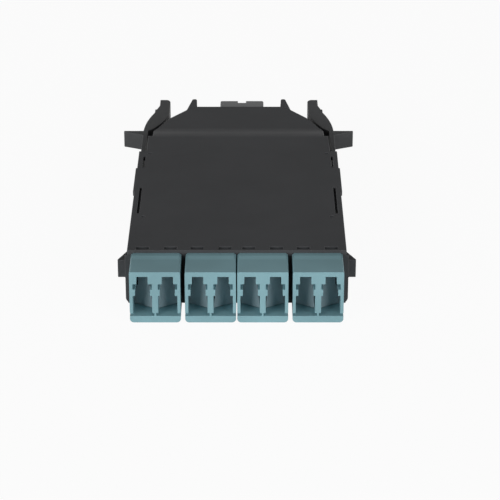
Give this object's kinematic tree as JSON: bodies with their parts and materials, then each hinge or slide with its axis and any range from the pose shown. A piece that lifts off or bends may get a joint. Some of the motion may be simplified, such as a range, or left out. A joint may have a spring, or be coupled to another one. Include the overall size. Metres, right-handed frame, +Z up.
{
  "type": "fibre cassette",
  "caption": "Flat fibre cassette with duplex adapters across the front, a multi-fibre adapter in the rear neck and sprung side latches.",
  "frame": {"origin": "on the resting plane, under the middle of the whole part's bounding box", "axes": "+X to the right seen from the front, +Y from the adapter mouths towards the rear neck, +Z up"},
  "size_m": [0.0658, 0.123, 0.0147],
  "materials": {
    "housing_black": "fine matt moulded",
    "lever_black": "fine matt moulded",
    "aqua_plastic": "satin moulded",
    "shutter_plastic": "satin moulded",
    "ceramic_white": "polished zirconia",
    "plug_beige": "moulded",
    "fibre_aqua": "smooth extruded jacket",
    "cable_aqua": "smooth extruded jacket",
    "grey_plastic": "moulded",
    "spring_steel": "drawn wire",
    "pin_steel": "ground",
    "boot_rubber": "matt"
  },
  "bodies": {
    "housing": {"base_shell": "housing_black", "top_cover": "housing_black", "pivot_pins": "pin_steel", "guide_pins": "pin_steel", "multi_fibre_adapter": "grey_plastic", "rear_latch_insert": "grey_plastic", "inner_latch_insert": "grey_plastic", "multi_fibre_plug": "cable_aqua", "multi_fibre_ferrule": "grey_plastic", "plug_boot": "boot_rubber", "fan_out_block": "grey_plastic", "round_cable": "cable_aqua", "duplex_adapter_1": "aqua_plastic", "duplex_adapter_2": "aqua_plastic", "duplex_adapter_3": "aqua_plastic", "duplex_adapter_4": "aqua_plastic", "split_sleeve_1": "ceramic_white", "plug_body_1": "plug_beige", "plug_ferrule_1": "ceramic_white", "fibre_1": "fibre_aqua", "split_sleeve_2": "ceramic_white", "plug_body_2": "plug_beige", "plug_ferrule_2": "ceramic_white", "fibre_2": "fibre_aqua", "split_sleeve_3": "ceramic_white", "plug_body_3": "plug_beige", "plug_ferrule_3": "ceramic_white", "fibre_3": "fibre_aqua", "split_sleeve_4": "ceramic_white", "plug_body_4": "plug_beige", "plug_ferrule_4": "ceramic_white", "fibre_4": "fibre_aqua", "split_sleeve_5": "ceramic_white", "plug_body_5": "plug_beige", "plug_ferrule_5": "ceramic_white", "fibre_5": "fibre_aqua", "split_sleeve_6": "ceramic_white", "plug_body_6": "plug_beige", "plug_ferrule_6": "ceramic_white", "fibre_6": "fibre_aqua", "split_sleeve_7": "ceramic_white", "plug_body_7": "plug_beige", "plug_ferrule_7": "ceramic_white", "fibre_7": "fibre_aqua", "split_sleeve_8": "ceramic_white", "plug_body_8": "plug_beige", "plug_ferrule_8": "ceramic_white", "fibre_8": "fibre_aqua"},
    "lever_left": {"latch_lever_left": "lever_black", "lever_spring_left": "spring_steel"},
    "lever_right": {"latch_lever_right": "lever_black", "lever_spring_right": "spring_steel"},
    "shutter_1": {"port_shutter_1": "shutter_plastic"},
    "shutter_2": {"port_shutter_2": "shutter_plastic"},
    "shutter_3": {"port_shutter_3": "shutter_plastic"},
    "shutter_4": {"port_shutter_4": "shutter_plastic"},
    "shutter_5": {"port_shutter_5": "shutter_plastic"},
    "shutter_6": {"port_shutter_6": "shutter_plastic"},
    "shutter_7": {"port_shutter_7": "shutter_plastic"},
    "shutter_8": {"port_shutter_8": "shutter_plastic"}
  },
  "joints": [
    {"name": "lever_pivot_left", "type": "hinge", "parent": "housing", "child": "lever_left", "pos_m": [-0.0256, -0.00455, 0.00686], "axis": [0, 0, -1], "range_deg": [0, 5], "stiffness_Nm_per_rad": 0.2, "springref_deg": -11.46},
    {"name": "lever_pivot_right", "type": "hinge", "parent": "housing", "child": "lever_right", "pos_m": [0.0256, -0.00455, 0.00686], "axis": [0, 0, 1], "range_deg": [0, 5], "stiffness_Nm_per_rad": 0.2, "springref_deg": -11.46},
    {"name": "shutter_hinge_1", "type": "hinge", "parent": "housing", "child": "shutter_1", "pos_m": [-0.02072, -0.05715, 0.00717], "axis": [0, 0, -1], "range_deg": [0, 58], "stiffness_Nm_per_rad": 0.00002, "springref_deg": -28.65},
    {"name": "shutter_hinge_2", "type": "hinge", "parent": "housing", "child": "shutter_2", "pos_m": [-0.01954, -0.05715, 0.00717], "axis": [0, 0, 1], "range_deg": [0, 58], "stiffness_Nm_per_rad": 0.00002, "springref_deg": -28.65},
    {"name": "shutter_hinge_3", "type": "hinge", "parent": "housing", "child": "shutter_3", "pos_m": [-0.00703, -0.05715, 0.00717], "axis": [0, 0, -1], "range_deg": [0, 58], "stiffness_Nm_per_rad": 0.00002, "springref_deg": -28.65},
    {"name": "shutter_hinge_4", "type": "hinge", "parent": "housing", "child": "shutter_4", "pos_m": [-0.00587, -0.05715, 0.00717], "axis": [0, 0, 1], "range_deg": [0, 58], "stiffness_Nm_per_rad": 0.00002, "springref_deg": -28.65},
    {"name": "shutter_hinge_5", "type": "hinge", "parent": "housing", "child": "shutter_5", "pos_m": [0.00587, -0.05715, 0.00717], "axis": [0, 0, -1], "range_deg": [0, 58], "stiffness_Nm_per_rad": 0.00002, "springref_deg": -28.65},
    {"name": "shutter_hinge_6", "type": "hinge", "parent": "housing", "child": "shutter_6", "pos_m": [0.00703, -0.05715, 0.00717], "axis": [0, 0, 1], "range_deg": [0, 58], "stiffness_Nm_per_rad": 0.00002, "springref_deg": -28.65},
    {"name": "shutter_hinge_7", "type": "hinge", "parent": "housing", "child": "shutter_7", "pos_m": [0.01954, -0.05715, 0.00717], "axis": [0, 0, -1], "range_deg": [0, 58], "stiffness_Nm_per_rad": 0.00002, "springref_deg": -28.65},
    {"name": "shutter_hinge_8", "type": "hinge", "parent": "housing", "child": "shutter_8", "pos_m": [0.02072, -0.05715, 0.00717], "axis": [0, 0, 1], "range_deg": [0, 58], "stiffness_Nm_per_rad": 0.00002, "springref_deg": -28.65}
  ]
}
